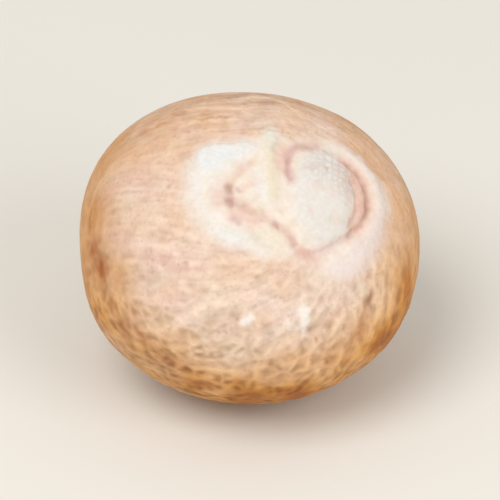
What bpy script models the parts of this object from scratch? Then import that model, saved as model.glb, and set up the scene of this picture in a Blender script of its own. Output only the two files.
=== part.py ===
"""A betel nut: the dried, husked seed of the areca palm, resting with its scar turned up and forward.

The nut's own frame has Z out through the middle of the scar and X along its greatest width. The whole
skin is one closed surface: each of its points lies at a distance from the nut's middle that the functions
below work out from the direction alone.
"""

import math

import bmesh
import bpy
import numpy as np
from mathutils import Matrix

MM = 0.001

# The body, before any relief.
HALF_LENGTH = 13.82 * MM
SIDE_RATIO = 0.918  # width across Y over width along X
SCAR_FLATTENING = 0.26  # how much nearer than HALF_LENGTH the scar lies
APEX_TAPER = 0.13  # how far the far side draws in towards its blunt point
APEX_POINT = 0.09  # and how much of that the point itself regains
SLOW_WAVE = 0.018 * MM
SLOW_WAVE_COUNT = 14
SLOW_WAVE_SEED = 7

# Blunt shoulders square the outline: degrees round the scar from X, degrees from the scar, height.
SHOULDERS = (
    (39, 67, 0.30 * MM),
    (149, 94, 0.75 * MM),
    (219, 113, 0.60 * MM),
)
SHOULDER_SHARPNESS = 7

# The scar's places are on a flat sheet wrapped over the scar, in metres from its middle along X and Y.
SHEET_RADIUS = 12 * MM
PLUG_MIDDLE = (3.3 * MM, 1.9 * MM)
PLUG_HALF_WIDTH = 3.1 * MM
PLUG_HALF_HEIGHT = 5.0 * MM
PLUG_RISE = 0.28 * MM
RIM_CENTRE = (3.7 * MM, 2.15 * MM)
RIM_CREASE_RADIUS = 4.0 * MM
RIM_LIP_RADIUS = 5.0 * MM

# How the nut rests: tipped from upright, then turned, on a flat spot worn this deep.
SPIN = math.radians(66.5)
TIP = math.radians(38.5)
LEAN = math.radians(-63.6)
FOOT_DEPTH = 0.42 * MM

# The surface net: cells along each edge of the cube it grows from, and how far they crowd to the scar.
CELLS = 28
CROWDING = 0.4

NUT_COLOUR = (0.68, 0.42, 0.24, 1.0)
NUT_ROUGHNESS = 0.6


def arc(centre, radius, start, end, count=14):
    """Points along part of a circle on the scar's sheet, from one angle in degrees to another."""
    turns = np.radians(np.linspace(start, end, count))
    return np.column_stack((np.cos(turns), np.sin(turns))) * radius + centre


def stroke(*points):
    """A route through a few points given in millimetres on the scar's sheet."""
    return np.array(points) * MM


# The creases round the plug and across the scar, the ridge down its middle, the husk left on it, and two
# flecks of husk below it.
LOWER_CREASE = stroke((6.4, -0.8), (5.4, -1.8), (4.5, -2.5), (3.5, -3.3), (2.1, -3.8), (1.0, -3.7))
CROSS_SEAM = stroke((1.6, -4.2), (0.8, -2.9), (0.0, -1.9), (-1.0, -1.3), (-2.4, -0.8), (-3.2, -0.5))
NOTCH = stroke((-5.3, 3.0), (-5.5, 1.6), (-5.4, 0.4), (-5.0, -0.4))
NOTCH_TOP = stroke((-5.6, 1.8), (-4.9, 3.2), (-4.2, 4.1), (-3.2, 4.9), (-2.6, 5.2))
NOTCH_TAIL = stroke((-5.6, 0.6), (-4.4, -0.1), (-3.5, -0.4), (-2.2, -0.8), (-1.4, -1.2))
NOTCH_FOLD = stroke((-5.8, -0.2), (-4.6, -1.0), (-3.3, -1.8), (-2.6, -2.2))
TOP_HOOK = stroke((1.2, 6.9), (0.5, 6.5), (0.1, 5.6), (0.0, 4.6), (0.2, 3.6), (0.5, 2.6))
HOOK_TOP = stroke((3.8, 7.1), (2.8, 7.1), (1.7, 7.0), (0.7, 6.8), (0.0, 6.2))
MIDDLE_RIDGE = stroke((-1.4, 8.8), (-1.6, 6.0), (-1.6, 3.5), (-1.4, 0.2))
LEFT_HUSK = stroke((-7.6, 3.4), (-6.4, 4.8), (-4.6, 5.7))
LOWER_HUSK = stroke((-6.2, -2.3), (-4.4, -3.0))
LEFT_FLECK = stroke((-2.8, -10.2), (-2.5, -9.4))
RIGHT_FLECK = stroke((2.6, -9.9), (3.0, -8.7))

# Each mark is a route, its half width, and its height: creases go down and ridges go up.
SCAR_MARKS = (
    (arc(RIM_CENTRE, RIM_CREASE_RADIUS, 80, -62), 0.42 * MM, -0.24 * MM),
    (arc(RIM_CENTRE, RIM_LIP_RADIUS, 78, -75), 0.75 * MM, 0.16 * MM),
    (LOWER_CREASE, 0.42 * MM, -0.14 * MM),
    (CROSS_SEAM, 0.42 * MM, -0.14 * MM),
    (NOTCH, 0.45 * MM, -0.26 * MM),
    (NOTCH_TOP, 0.42 * MM, -0.12 * MM),
    (NOTCH_TAIL, 0.46 * MM, -0.12 * MM),
    (NOTCH_FOLD, 0.42 * MM, -0.08 * MM),
    (TOP_HOOK, 0.42 * MM, -0.18 * MM),
    (HOOK_TOP, 0.50 * MM, -0.06 * MM),
    (MIDDLE_RIDGE, 0.65 * MM, 0.20 * MM),
    (LEFT_HUSK, 1.30 * MM, 0.12 * MM),
    (LOWER_HUSK, 1.00 * MM, 0.10 * MM),
    (LEFT_FLECK, 0.50 * MM, 0.09 * MM),
    (RIGHT_FLECK, 0.50 * MM, 0.09 * MM),
)
SHORT_MARK = 3  # a route of fewer points than this doesn't fade towards its ends
MARK_FADE = 1.2 * MM


def smooth_step(value, low, high):
    """0 below low, 1 above high and an even S between."""
    part = np.clip((value - low) / (high - low), 0, 1)
    return part * part * (3 - 2 * part)


def from_angles(around, from_scar):
    """The unit direction this many degrees round the scar from X and away from the scar."""
    around, from_scar = math.radians(around), math.radians(from_scar)
    across = math.sin(from_scar)
    return np.array((across * math.cos(around), across * math.sin(around), math.cos(from_scar)))


def body_radius(dirs):
    """The plain body: oval round the scar's axis, flattened at the scar and tapering to the far side."""
    up = dirs[:, 2]
    level = np.maximum(1 - up**2, 1e-9)
    towards_scar = smooth_step(up, -0.35, 0.35)
    drop = APEX_TAPER + (SCAR_FLATTENING - APEX_TAPER) * towards_scar
    profile = 1 - drop * up**2 + APEX_POINT * (1 - towards_scar) * up**4
    oval = 1 / np.sqrt((dirs[:, 0] ** 2 + (dirs[:, 1] / SIDE_RATIO) ** 2) / level)
    radius = HALF_LENGTH * profile * (1 + (oval - 1) * level)
    for around, from_scar, height in SHOULDERS:
        facing = np.clip(dirs @ from_angles(around, from_scar), 0, 1)
        radius = radius + height * facing**SHOULDER_SHARPNESS
    return radius


def slow_waves(dirs):
    """Low, broad unevenness, as the sum of a few seeded waves through the body."""
    draw = np.random.default_rng(SLOW_WAVE_SEED)
    lift = np.zeros(len(dirs))
    for _ in range(SLOW_WAVE_COUNT):
        heading = draw.normal(size=3)
        heading /= np.linalg.norm(heading)
        lift += np.sin(dirs @ heading * draw.uniform(5, 12) + draw.uniform(0, 2 * math.pi))
    return lift * SLOW_WAVE


def scar_sheet(dirs):
    """Where each direction meets the sheet over the scar, as arc lengths from its middle."""
    from_scar = np.arccos(np.clip(dirs[:, 2], -1, 1))
    level = np.maximum(np.hypot(dirs[:, 0], dirs[:, 1]), 1e-9)
    return dirs[:, :2] * (SHEET_RADIUS * from_scar / level)[:, None]


def mark_shape(sheet, route, half_width):
    """1 along a route, fading to 0 beside it and, if it is a long one, towards its ends."""
    lengths = np.linalg.norm(np.diff(route, axis=0), axis=1)
    nearest = np.full(len(sheet), np.inf)
    passed = np.zeros(len(sheet))
    for start, end, before in zip(route[:-1], route[1:], np.cumsum(lengths) - lengths):
        run = end - start
        along = np.clip((sheet - start) @ run / (run @ run), 0, 1)
        away = np.linalg.norm(sheet - start - along[:, None] * run, axis=1)
        closer = away < nearest
        nearest = np.where(closer, away, nearest)
        passed = np.where(closer, before + along * np.linalg.norm(run), passed)
    shape = np.exp(-((nearest / half_width) ** 2))
    if len(route) < SHORT_MARK:
        return shape
    return shape * smooth_step(np.minimum(passed, lengths.sum() - passed), 0, MARK_FADE)


def scar_relief(dirs):
    """The plug's low dome and every crease and ridge of the scar, as a height over the body."""
    sheet = scar_sheet(dirs)
    offset = (sheet - PLUG_MIDDLE) / (PLUG_HALF_WIDTH, PLUG_HALF_HEIGHT)
    dome = PLUG_RISE * smooth_step(1.15 - np.hypot(offset[:, 0], offset[:, 1]), 0, 0.6)
    marks = sum(height * mark_shape(sheet, route, width) for route, width, height in SCAR_MARKS)
    return dome + marks


def cube_sphere(cells, crowding):
    """A ball of near-even quads grown from a cube, its corners crowded towards +Z."""
    net = bmesh.new()
    bmesh.ops.create_cube(net, size=2)
    bmesh.ops.subdivide_edges(net, edges=net.edges[:], cuts=cells - 1, use_grid_fill=True)
    dirs = np.tan(np.array([vert.co for vert in net.verts]) * (math.pi / 4))
    dirs /= np.linalg.norm(dirs, axis=1)[:, None]
    dirs[:, 2] += crowding
    dirs /= np.linalg.norm(dirs, axis=1)[:, None]
    return net, dirs


def at_rest(points):
    """Turns the nut as it lies, wears its flat spot at z = 0 and centres it over the origin."""
    turn = Matrix.Rotation(LEAN, 3, "Z") @ Matrix.Rotation(TIP, 3, "Y") @ Matrix.Rotation(SPIN, 3, "Z")
    points = points @ np.array(turn).T
    points[:, 2] -= points[:, 2].min() + FOOT_DEPTH
    points[:, 2] = np.maximum(points[:, 2], 0)
    points[:, :2] -= (points[:, :2].min(axis=0) + points[:, :2].max(axis=0)) / 2
    return points


def nut_material():
    material = bpy.data.materials.new("dried nut skin")
    material.use_nodes = True
    shader = material.node_tree.nodes["Principled BSDF"]
    shader.inputs["Base Color"].default_value = NUT_COLOUR
    shader.inputs["Roughness"].default_value = NUT_ROUGHNESS
    shader.inputs["Metallic"].default_value = 0.0
    return material


def make_nut():
    net, dirs = cube_sphere(CELLS, CROWDING)
    radius = body_radius(dirs) + slow_waves(dirs) + scar_relief(dirs)
    for vert, point in zip(net.verts, at_rest(dirs * radius[:, None])):
        vert.co = point
    bmesh.ops.triangulate(net, faces=net.faces[:])
    bmesh.ops.recalc_face_normals(net, faces=net.faces[:])
    mesh = bpy.data.meshes.new("nut")
    net.to_mesh(mesh)
    net.free()
    mesh.shade_smooth()
    mesh.materials.append(nut_material())
    nut = bpy.data.objects.new("nut", mesh)
    bpy.context.scene.collection.objects.link(nut)
    return nut


for old in list(bpy.data.objects):
    bpy.data.objects.remove(old, do_unlink=True)
make_nut()
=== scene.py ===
"""The looks of a dried betel nut: one fine closed skin with its scar, veins, pits and stains.

Lengths are in metres. The nut's own frame has Z out through the middle of the scar and X along its
greatest width, as its solid has, and the skin is worked out from the same named values.
"""

import math

import bmesh
import bpy
import numpy as np
from mathutils import Matrix, Vector, kdtree, noise


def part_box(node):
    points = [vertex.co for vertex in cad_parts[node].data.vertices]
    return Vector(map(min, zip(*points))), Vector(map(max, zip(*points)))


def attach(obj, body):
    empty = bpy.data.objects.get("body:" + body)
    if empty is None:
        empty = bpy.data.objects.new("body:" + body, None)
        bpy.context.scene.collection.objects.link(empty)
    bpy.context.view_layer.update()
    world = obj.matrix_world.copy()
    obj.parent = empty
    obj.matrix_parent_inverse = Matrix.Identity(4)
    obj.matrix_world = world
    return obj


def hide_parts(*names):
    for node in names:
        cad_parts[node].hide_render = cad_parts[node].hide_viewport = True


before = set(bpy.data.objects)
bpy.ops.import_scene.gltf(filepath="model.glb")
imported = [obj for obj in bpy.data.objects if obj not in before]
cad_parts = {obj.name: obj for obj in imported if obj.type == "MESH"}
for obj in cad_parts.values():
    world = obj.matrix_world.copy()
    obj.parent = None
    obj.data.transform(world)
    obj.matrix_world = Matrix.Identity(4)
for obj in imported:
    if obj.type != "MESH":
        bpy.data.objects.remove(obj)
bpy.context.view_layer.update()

MM = 0.001
TINY = 1e-9  # keeps a division by zero away
SEED_SHIFT = 31.7  # far enough apart in the noise that no two seeds look alike

# The body, as in the solid.
HALF_LENGTH = 13.82 * MM
SIDE_RATIO = 0.918  # width across Y over width along X
SCAR_FLATTENING = 0.26  # how much nearer than HALF_LENGTH the scar lies
APEX_TAPER = 0.13  # how far the far side draws in towards its blunt point
APEX_POINT = 0.09  # and how much of that the point itself regains
SIDES_MEET = 0.35  # the two sides' shapes blend within this share of the radius from the middle
SLOW_WAVE = 0.018 * MM
SLOW_WAVE_COUNT = 14
SLOW_WAVE_TURNS = (5, 12)
SLOW_WAVE_SEED = 7

# Blunt shoulders square the outline: degrees round the scar from X, degrees from the scar, height.
SHOULDERS = (
    (39, 67, 0.30 * MM),
    (149, 94, 0.75 * MM),
    (219, 113, 0.60 * MM),
)
SHOULDER_SHARPNESS = 7

# How the nut rests: tipped from upright, then turned, on a flat spot worn this deep.
SPIN = math.radians(66.5)
TIP = math.radians(38.5)
LEAN = math.radians(-63.6)
FOOT_DEPTH = 0.42 * MM

# Places on the skin are on a flat sheet wrapped over it, measured from the scar's middle along X and Y.
SHEET_RADIUS = 12 * MM
PLUG_MIDDLE = (3.3 * MM, 1.9 * MM)
PLUG_HALF_WIDTH = 3.1 * MM
PLUG_HALF_HEIGHT = 5.0 * MM
PLUG_RISE = 0.28 * MM
PLUG_FOOT = 1.15  # where the plug's dome starts, in its half widths
PLUG_SLOPE = 0.6  # and how far in from there it is at its full height
RIM_CENTRE = (3.7 * MM, 2.15 * MM)
RIM_CREASE_RADIUS = 4.0 * MM
RIM_LINE_RADIUS = 4.05 * MM
RIM_LIP_RADIUS = 5.0 * MM
ARC_POINTS = 14  # how many points an arc's route has

# The fine skin's net: under 200,000 triangles, a little closer at the scar.
SKIN_CELLS = 124
SKIN_CROWDING = 0.22
MEAN_RADIUS = 12.9 * MM  # every pattern is laid out on a ball of this radius

# The veins run between cells: how wide those are, how long the longest are, and how both vary.
CELL_WIDTH = 1.1 * MM
LONGEST_CELL = 2.9 * MM
CELL_SWELL = 0.22  # how much of a longer cell's gain in length its width gains as well
CELL_SPACING = (0.2, 1.1)  # how near two cells' middles may lie: the square of their gap over a cell's size
CELL_TONES = (0.3, 1)
CELL_DEEP = 0.41  # how far in from its edge a cell is at its darkest, over its width
VEIN_SHARE = 0.19  # a vein's half width over the width of the cells beside it
VEIN_STRENGTHS = (0.25, 1)
CROSS_WEAKNESS = 0.6  # how much of its strength a vein that runs across the grain loses
VEIN_SEED = 21
VEIN_TRIES = 9000  # how many places are tried for a cell's middle
NEAREST_CELLS = 5  # how many cells each point is set against
POINTS_AT_ONCE = 4000  # few enough for the memory

# Small dark pits lie scattered over the rind.
PIT_COUNT = 160
PIT_RADII = (0.08, 0.20)  # in millimetres
PIT_SEED = 5

# Longer pale strands wander over the sides that don't show, as PALE_VEINS do over the one that does.
STRAND_TRIES = 170
STRAND_SEED = 9
STRAND_STEP = 0.15 * MM
STRAND_STEPS = (16, 60)
STRAND_HALF_WIDTHS = (0.16, 0.36)  # in millimetres
STRAND_TONES = (0.5, 1.0)
STRAND_BEND = 0.4  # how far a strand's way turns from the veins', in radians
SEEN_MIDDLE = (-3.1, -3.6)  # the middle of the side that shows, on the sheet, in millimetres
SEEN_LIMIT = -0.05  # strands start where the cosine of the angle from there is less than this

# The rind's mottle is noise smeared along the veins: its lumps and each step in millimetres, how many steps
# it is smeared by each way, and its seed.
FINE_STREAKS = (0.3, 0.25, 5, 11)
THIN_SMEARS = (0.42, 0.15, 1, 14)
BROAD_SMEARS = (0.9, 0.25, 1, 20)
THIN_SHARE = 0.6
BROAD_SHARE = 0.9
MOTTLE_LEAST = 0.2  # how bold the mottle is where the skin is plainest
STREAKS_LEAST = 0.15  # how bold the fine streaks are where the cells are round
STREAKS_GAIN = 0.25  # and how much bolder where they are longest

# How uneven things are: a level, then the grains that are laid on it, each with a strength, the size of its
# lumps in millimetres and a seed.
VEIN_BREAKS = (0.7, (0.9, 0.9, 24))
CELL_BREAKS = (0.8, (0.7, 0.9, 25))
PALE_VEIN_BREAKS = (0.8, (0.5, 0.7, 26))
BOLD_BREAKS = (1, (0.4, 2.2, 13))
DAPPLES = (0, (3.2, 0.6, 30), (3.4, 1.0, 31))
TORN_EDGE = (0, (0.5, 1.3, 18), (0.3, 0.5, 19))
TORN_FLECK = (0, (0.16 * MM, 0.3, 29))  # its strength is how far its edge is torn
SCAR_GRAIN = (0, (1, 0.5, 27), (1, 1.0, 21))
CHALK = (0.88, (0.4, 0.6, 23))
BLUSH = (0.9, (0.4, 0.7, 32))

# The same for what has a level of its own at each point: the grains alone.
BROWN_GRAINS = ((0.22, 3.0, 2), (0.06, 1.1, 12))
BOLD_GRAINS = ((0.1, 1.2, 8),)
MOTTLE_GRAINS = ((1.5, 1.8, 28),)

# How marks wander off their places: how far and in lumps of what size, both in millimetres, then a seed for
# each axis.
FINE_WANDER = (0.25, 0.8, 3, 4)
SCAR_WANDER = (0.14, 0.6, 3, 4)
FLECK_WANDER = (0.10, 0.5, 3, 4)
COVER_WANDER = (0.4, 1.2, 3, 4)
VEIN_WANDER = (0.5, 1.6, 5, 6, 7)
SMUDGE_WANDER = (0.55, 0.7, 15, 16, 17)
STRAND_WANDER = (0.35, 1.1, 33, 34, 35)

# How far the fine relief stands out or is sunk, where it is boldest.
VEIN_RISE = 0.04 * MM
PALE_VEIN_RISE = 0.05 * MM
CELL_SINK = 0.04 * MM
MOTTLE_RISE = 0.012 * MM
STAIN_SINK = 0.05 * MM
PIT_SINK = 0.06 * MM
DIMPLE_SINK = 0.04 * MM
SCAR_GRAIN_RISE = 0.015 * MM

# Where the husk and the flecks start and stop rising, and start to be white and are full white, measured
# inwards from their outlines. The husk's white is in shares of how softly each patch of it fades.
HUSK_STEP = (-0.1 * MM, 0.35 * MM)
HUSK_WHITE = (-0.5, 0.9)
HUSK_TORN = 0.8  # in millimetres, how softly a patch has to fade to be torn most
FLECK_STEP = (-0.15 * MM, 0.5 * MM)
FLECK_WHITE = (-0.3 * MM, 0.4 * MM)

# The scar's edge: how softly it fades in millimetres, where it grows softer towards the low right, as X
# less Y on the sheet, and where it starts and is full, in shares of that softness.
SCAR_SOFTNESS = 0.55
SOFT_RIGHT_EDGE = (2 * MM, 8 * MM)
SCAR_FADE = (-0.9, 1.3)

# The clouds of cream and rose on the scar: their size and seed, and the values of that noise at which they
# start and are full.
CREAM_CLOUDS = (1.0 * MM, 21)
CREAM_RANGE = (-0.1, 0.45)
CREAM_CLOUD_TONE = 0.6
CREAM_PATCH_TONE = 0.62
CREAM_RIDGE_WIDTH = 0.75 * MM
PLUG_HIDES = 0.7  # how much of the clouds and the patch of cream is missing on the plug
ROSE_CLOUDS = (1.2 * MM, 22)
ROSE_RANGE = (0, 0.45)

# Between which values a mask goes from nothing to full.
PALE_MOTTLE_RANGE = (-0.8, 2.8)
DARK_MOTTLE_RANGE = (0, 3.6)
# The deep brown is partly painted shade at the foot and the edges.
DEEP_BROWN_AND_SHADE_RANGE = (0.8, 1.4)

HUSK_HIDES = 0.3  # how much of the colour of a crease is lost under the husk
TINT_SPREAD = 0.6  # below 1 a mark's salmon and mauve spread wider than its crease
DARK_SPREAD = 1.6  # and above 1 its dark line is narrower

# The way the veins run at a few places: X and Y on the sheet in millimetres, then degrees turned from
# straight away from the scar. The first rows are the side in view and the last ones the far side.
VEIN_WAYS = (
    (-11.2, 9.4, 54),
    (-6.5, 11.2, 63),
    (-1.1, 13.1, 98),
    (1.5, 10.8, 70),
    (6.1, 6.3, 85),
    (10.5, 2.0, 108),
    (13.7, -1.9, 130),
    (11.3, -5.0, 130),
    (10.4, -6.7, 145),
    (10.1, -8.8, 142),
    (11.0, -13.2, 160),
    (7.2, -12.0, 155),
    (2.4, -10.6, 125),
    (1.2, -11.7, 130),
    (-0.3, -15.1, 165),
    (-5.1, -14.9, 124),
    (-9.0, -15.3, 95),
    (-13.2, -11.0, 60),
    (-11.1, -16.5, 100),
    (-16.0, -12.9, 75),
    (-18.4, -7.1, 60),
    (-18.4, 0.0, 74),
    (-17.0, 4.6, 66),
    (-13.3, -3.8, 160),
    (-9.7, -7.6, 146),
    (-5.0, -8.7, 135),
    (-13.9, 2.2, 0),
    (-16.2, 8.3, 27),
    (0.0, 22.0, 90),
    (16.0, 16.0, 110),
    (22.0, 0.0, 130),
    (17.0, -17.0, 150),
    (-2.0, -23.0, 130),
    (-17.0, -19.0, 90),
    (-25.0, -3.0, 60),
    (-18.0, 18.0, 60),
    (20.0, 27.0, 150),
    (10.0, -32.0, 160),
    (-32.0, 8.0, 30),
)
WAY_REACH = 0.04  # how widely each place holds its own value before the others' mix in

# How brown the skin is at a few places, from 0 to 1 and past that where it is tanned deepest, how boldly
# it is veined and mottled there, from 0 to 1, and how long the cells between its veins are, in millimetres.
# The brown is partly painted shade: it is raised at the foot, along the low right edge and on the far side,
# so that the nut's edges come out darker.
WEATHERING_AND_SHADE = (
    (-8.0, -4.0, 0.0, 0.15, 2.4),
    (-12.5, 0.5, 0.05, 0.1, 2.4),
    (-14.6, 3.2, 0.3, 0.1, 2.4),
    (-13.7, -3.0, 0.1, 0.25, 2.0),
    (-15.7, -3.2, 0.65, 0.3, 1.8),
    (-11.4, -6.5, 0.0, 0.35, 2.0),
    (-14.1, -6.8, 0.6, 0.5, 1.5),
    (-17.5, 0.5, 0.88, 0.2, 1.8),
    (-17.3, -4.5, 0.9, 0.35, 1.4),
    (-16.0, 6.0, 0.75, 0.1, 2.4),
    (-11.5, 8.5, 0.4, 0.1, 2.9),
    (-8.5, 6.5, 0.25, 0.1, 2.9),
    (-6.5, 12.0, 0.4, 0.15, 2.9),
    (-2.5, 11.5, 0.08, 0.15, 2.9),
    (-2.0, 15.5, 0.2, 0.2, 2.9),
    (3.0, 13.5, 0.4, 0.1, 2.9),
    (-4.5, -9.0, 0.0, 0.3, 2.4),
    (-9.0, -9.3, 0.0, 0.4, 2.0),
    (-11.2, -9.8, 0.15, 0.6, 1.6),
    (-13.0, -9.0, 0.6, 0.7, 1.4),
    (-15.0, -9.5, 0.9, 0.85, 1.2),
    (-12.0, -12.8, 0.8, 0.9, 1.2),
    (-7.4, -13.0, 0.6, 0.8, 1.3),
    (-4.0, -12.3, 0.1, 0.65, 1.4),
    (-8.5, -15.8, 0.8, 0.9, 1.2),
    (0.0, -11.5, 0.1, 0.6, 1.7),
    (-0.3, -14.4, 0.65, 0.9, 1.5),
    (-5.0, -17.5, 0.85, 0.9, 1.3),
    # The foot, in this row and the next, is browned past its tan as painted shade.
    (-0.5, -18.8, 1.1, 0.9, 1.4),
    (4.5, -17.2, 1.2, 0.9, 1.6),
    (4.7, -13.2, 0.65, 0.9, 1.7),
    (8.0, -13.6, 0.8, 0.9, 2.0),
    (4.5, -10.8, 0.15, 0.8, 1.9),
    (3.0, -7.5, 0.0, 0.3, 2.2),
    (6.6, -5.4, 0.0, 0.3, 2.6),
    (8.8, -6.4, 0.4, 0.65, 2.7),
    (9.4, -9.6, 0.72, 0.85, 2.7),
    # Here and in the next three rows the low right edge is browner, partly as painted shade.
    (12.2, -9.0, 1.15, 0.9, 2.6),
    (11.2, -5.5, 0.5, 0.75, 2.9),
    (13.2, -6.5, 1.25, 0.8, 2.9),
    (14.2, -4.0, 1.0, 0.8, 2.9),
    (13.2, -0.5, 0.68, 0.35, 2.9),
    (13.0, 3.0, 0.6, 0.2, 2.9),
    (10.8, 0.6, 0.5, 0.15, 2.9),
    (9.8, 5.6, 0.45, 0.12, 2.9),
    (4.5, 9.4, 0.0, 0.1, 2.9),
    (6.0, 11.2, 0.45, 0.1, 2.9),
    (8.0, 9.0, 0.5, 0.1, 2.9),
    (10.0, 13.5, 0.7, 0.4, 2.5),
    (2.5, 17.5, 0.5, 0.35, 2.5),
    (8.0, 18.0, 0.72, 0.65, 2.1),
    (14.0, 12.5, 0.78, 0.65, 2.2),
    (-8.0, 19.5, 0.75, 0.65, 1.9),
    (-17.0, 14.0, 0.8, 0.6, 1.9),
    # The far side is a deeper tan, partly painted shade that darkens the nut's edges.
    (0.0, 24.0, 0.85, 0.95, 1.7),
    (20.0, 8.0, 0.85, 0.95, 1.9),
    (20.0, -18.0, 0.95, 1.0, 1.7),
    (-20.0, -20.0, 0.95, 1.0, 1.5),
    (-24.0, 8.0, 0.85, 0.9, 1.7),
    (0.0, 36.0, 1.0, 1.0, 1.6),
)
WEATHERING_AND_SHADE_REACH = 0.02
PLACE_PULL = 3  # how sharply a place's pull on the value falls off


def unit(vectors):
    """The same directions, each of length 1."""
    return vectors / np.linalg.norm(vectors, axis=-1, keepdims=True)


def smooth_step(value, low, high):
    """0 below low, 1 above high and an even S between."""
    part = np.clip((value - low) / (high - low), 0, 1)
    return part * part * (3 - 2 * part)


def from_angles(around, from_scar):
    """The unit direction this many degrees round the scar from X and away from the scar."""
    around, from_scar = math.radians(around), math.radians(from_scar)
    across = math.sin(from_scar)
    return np.array((across * math.cos(around), across * math.sin(around), math.cos(from_scar)))


def from_sheet(across, up):
    """The unit direction of a place on the sheet given in millimetres."""
    from_scar = math.hypot(across, up) * MM / SHEET_RADIUS
    return from_angles(math.degrees(math.atan2(up, across)), math.degrees(from_scar))


def blend(dirs, places, values, reach):
    """Values that are known at a few places on the sheet, blended over the whole skin."""
    middles = np.array([from_sheet(across, up) for across, up in places])
    weights = (1 + reach - dirs @ middles.T) ** -PLACE_PULL
    return weights @ np.array(values) / weights.sum(axis=1, keepdims=True)


# ---- grain ----------------------------------------------------------------------------------------


def grain_at(points, size, seed):
    """Blender's own smooth noise at each point, from -1 to 1, with lumps of this size."""
    moved = points / size + SEED_SHIFT * seed
    return np.array([noise.noise(point) for point in moved.tolist()])


def uneven(spots, level, *grains):
    """A level made uneven by grains, each a strength, the lumps' size in millimetres and a seed."""
    for strength, size, seed in grains:
        level = level + strength * grain_at(spots, size * MM, seed)
    return level


def nudged(points, spots, reach, size, *seeds):
    """Points moved about by a grain for each axis, so that the marks drawn at them wander a little."""
    return points + reach * MM * np.column_stack([grain_at(spots, size * MM, seed) for seed in seeds])


# ---- the body -------------------------------------------------------------------------------------


def body_radius(dirs):
    """The plain body: oval round the scar's axis, flattened at the scar and tapering to the far side."""
    up = dirs[:, 2]
    level = np.maximum(1 - up**2, TINY)
    towards_scar = smooth_step(up, -SIDES_MEET, SIDES_MEET)
    drop = APEX_TAPER + (SCAR_FLATTENING - APEX_TAPER) * towards_scar
    profile = 1 - drop * up**2 + APEX_POINT * (1 - towards_scar) * up**4
    oval = 1 / np.sqrt((dirs[:, 0] ** 2 + (dirs[:, 1] / SIDE_RATIO) ** 2) / level)
    radius = HALF_LENGTH * profile * (1 + (oval - 1) * level)
    for around, from_scar, height in SHOULDERS:
        facing = np.clip(dirs @ from_angles(around, from_scar), 0, 1)
        radius = radius + height * facing**SHOULDER_SHARPNESS
    return radius


def slow_waves(dirs):
    """Low, broad unevenness, as the sum of a few seeded waves through the body."""
    draw = np.random.default_rng(SLOW_WAVE_SEED)
    lift = np.zeros(len(dirs))
    for _ in range(SLOW_WAVE_COUNT):
        heading = draw.normal(size=3)
        heading /= np.linalg.norm(heading)
        lift += np.sin(dirs @ heading * draw.uniform(*SLOW_WAVE_TURNS) + draw.uniform(0, 2 * math.pi))
    return lift * SLOW_WAVE


def scar_sheet(dirs):
    """Where each direction meets the sheet over the scar, as arc lengths from its middle."""
    from_scar = np.arccos(np.clip(dirs[:, 2], -1, 1))
    level = np.maximum(np.hypot(dirs[:, 0], dirs[:, 1]), TINY)
    return dirs[:, :2] * (SHEET_RADIUS * from_scar / level)[:, None]


# ---- marks on the skin ----------------------------------------------------------------------------


def arc(centre, radius, start, end):
    """Points along part of a circle on the scar's sheet, from one angle in degrees to another."""
    turns = np.radians(np.linspace(start, end, ARC_POINTS))
    return np.column_stack((np.cos(turns), np.sin(turns))) * radius + centre


def stroke(*points):
    """A route or an outline through points given in millimetres on the scar's sheet."""
    return np.array(points) * MM


# The routes of the scar's creases, lines, tints and specks.
RIM_CREASE = arc(RIM_CENTRE, RIM_CREASE_RADIUS, 80, -62)
RIM_LINE = arc(RIM_CENTRE, RIM_LINE_RADIUS, 72, -56)
RIM_LINE_LOW = arc(RIM_CENTRE, RIM_LINE_RADIUS, 32, -42)
RIM_LIP = arc(RIM_CENTRE, RIM_LIP_RADIUS, 78, -75)
RIM_END = stroke((6.2, -0.8), (5.9, -1.4))
RIM_BAND = arc((2.9 * MM, 2.0 * MM), 4.1 * MM, 52, -46)
INNER_BAND = stroke((4.2, 5.5), (5.2, 4.0), (5.8, 2.6), (5.9, 1.2))
INNER_LINE = arc((2.4 * MM, 1.8 * MM), 4.1 * MM, 44, -44)
LOWER_CREASE = stroke((6.4, -0.8), (5.4, -1.8), (4.5, -2.5), (3.5, -3.3), (2.1, -3.8), (1.0, -3.7))
LOWER_BLOB = stroke((1.4, -3.6), (2.5, -3.8))
CROSS_SEAM = stroke((1.6, -4.2), (0.8, -2.9), (0.0, -1.9), (-1.0, -1.3), (-2.4, -0.8), (-3.2, -0.5))
SEAM_SPOT = stroke((-1.3, -1.2), (-0.9, -1.5))
SEAM_END = stroke((0.6, -2.4), (0.9, -3.0))
NOTCH = stroke((-5.3, 3.0), (-5.5, 1.6), (-5.4, 0.4), (-5.0, -0.4))
NOTCH_HIGH = stroke((-5.5, 2.0), (-5.4, 1.6))
NOTCH_BESIDE = stroke((-4.7, 1.8), (-4.5, 1.6))
NOTCH_LOW = stroke((-5.4, 0.6), (-5.2, 0.3))
NOTCH_INNER = stroke((-5.0, 0.4), (-4.3, 0.1))
NOTCH_PINK = stroke((-6.3, 1.3), (-6.2, 0.3))
NOTCH_TOP = stroke((-5.6, 1.8), (-4.9, 3.2), (-4.2, 4.1), (-3.2, 4.9), (-2.6, 5.2))
NOTCH_TAIL = stroke((-5.6, 0.6), (-4.4, -0.1), (-3.5, -0.4), (-2.2, -0.8), (-1.4, -1.2))
NOTCH_FOLD = stroke((-5.8, -0.2), (-4.6, -1.0), (-3.3, -1.8), (-2.6, -2.2))
FOLD_PINK = stroke((-4.9, -0.4), (-2.9, -1.4))
FOLD_SPOT = stroke((-4.9, -1.1), (-4.5, -1.3))
NOTCH_SIDE = stroke((-6.1, 2.4), (-6.5, 0.9), (-6.0, -0.6))
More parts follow.
